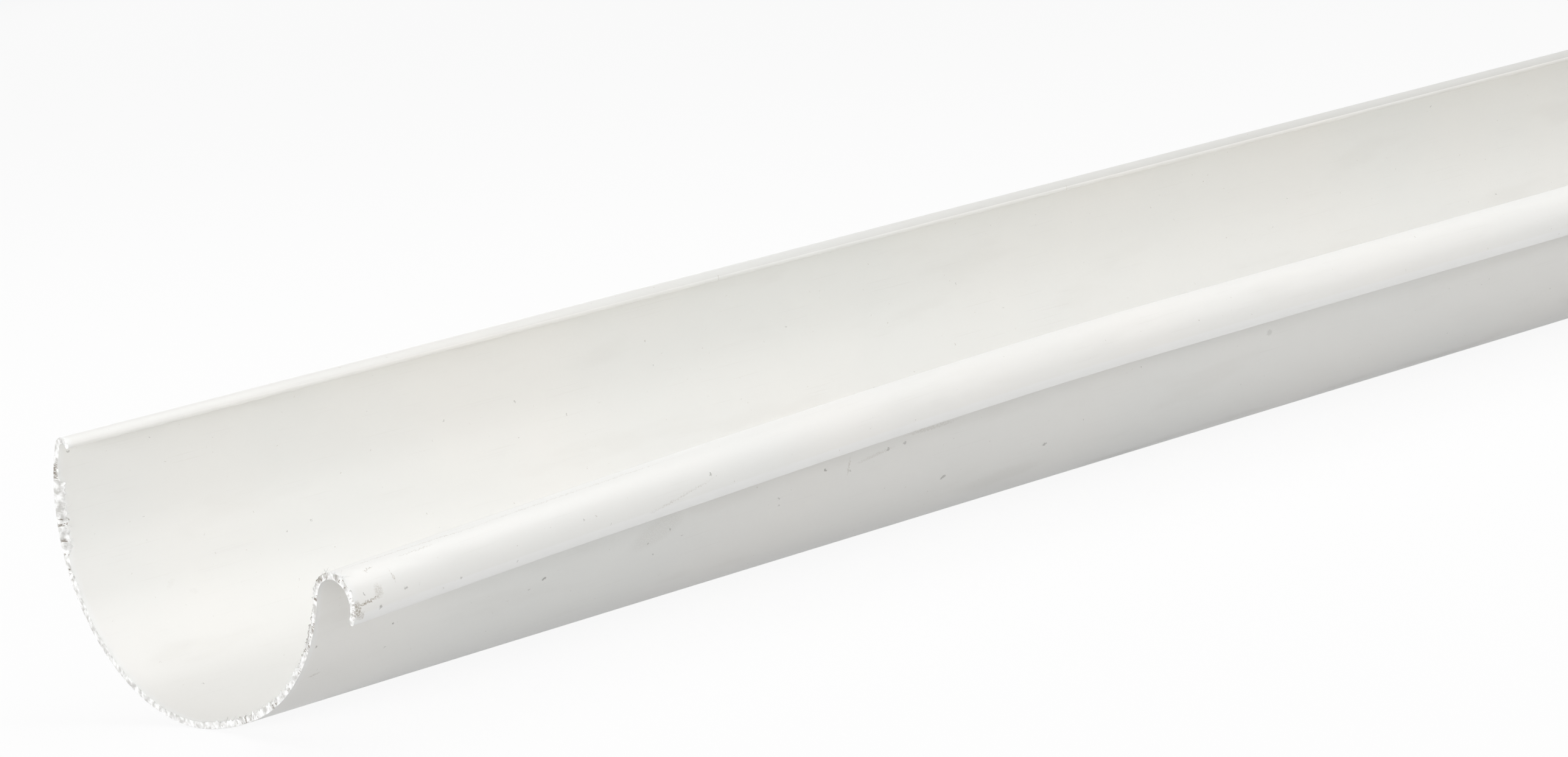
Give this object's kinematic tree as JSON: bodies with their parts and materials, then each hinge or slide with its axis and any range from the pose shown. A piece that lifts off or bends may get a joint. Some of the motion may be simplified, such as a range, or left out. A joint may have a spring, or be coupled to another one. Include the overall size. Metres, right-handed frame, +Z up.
{
  "type": "half-round gutter section",
  "caption": "Half-round rigid PVC gutter length with a hooked front bead and a curled rear lip, sawn square at both ends.",
  "frame": {"origin": "centre of the bounding box's bottom face, on the floor that the gutter lies on", "axes": "+X runs along the gutter away from its worn sawn end, -Y is the front with the hooked bead, +Z is up; the gutter is rolled 10.9 degrees towards its bead, as it comes to rest unheld"},
  "size_m": [2, 0.1504, 0.0908],
  "materials": {
    "white_pvc": "white rigid PVC with a satin extruded skin, lightly scuffed and soiled"
  },
  "bodies": {
    "root": {"gutter_section": "white_pvc"}
  },
  "joints": []
}
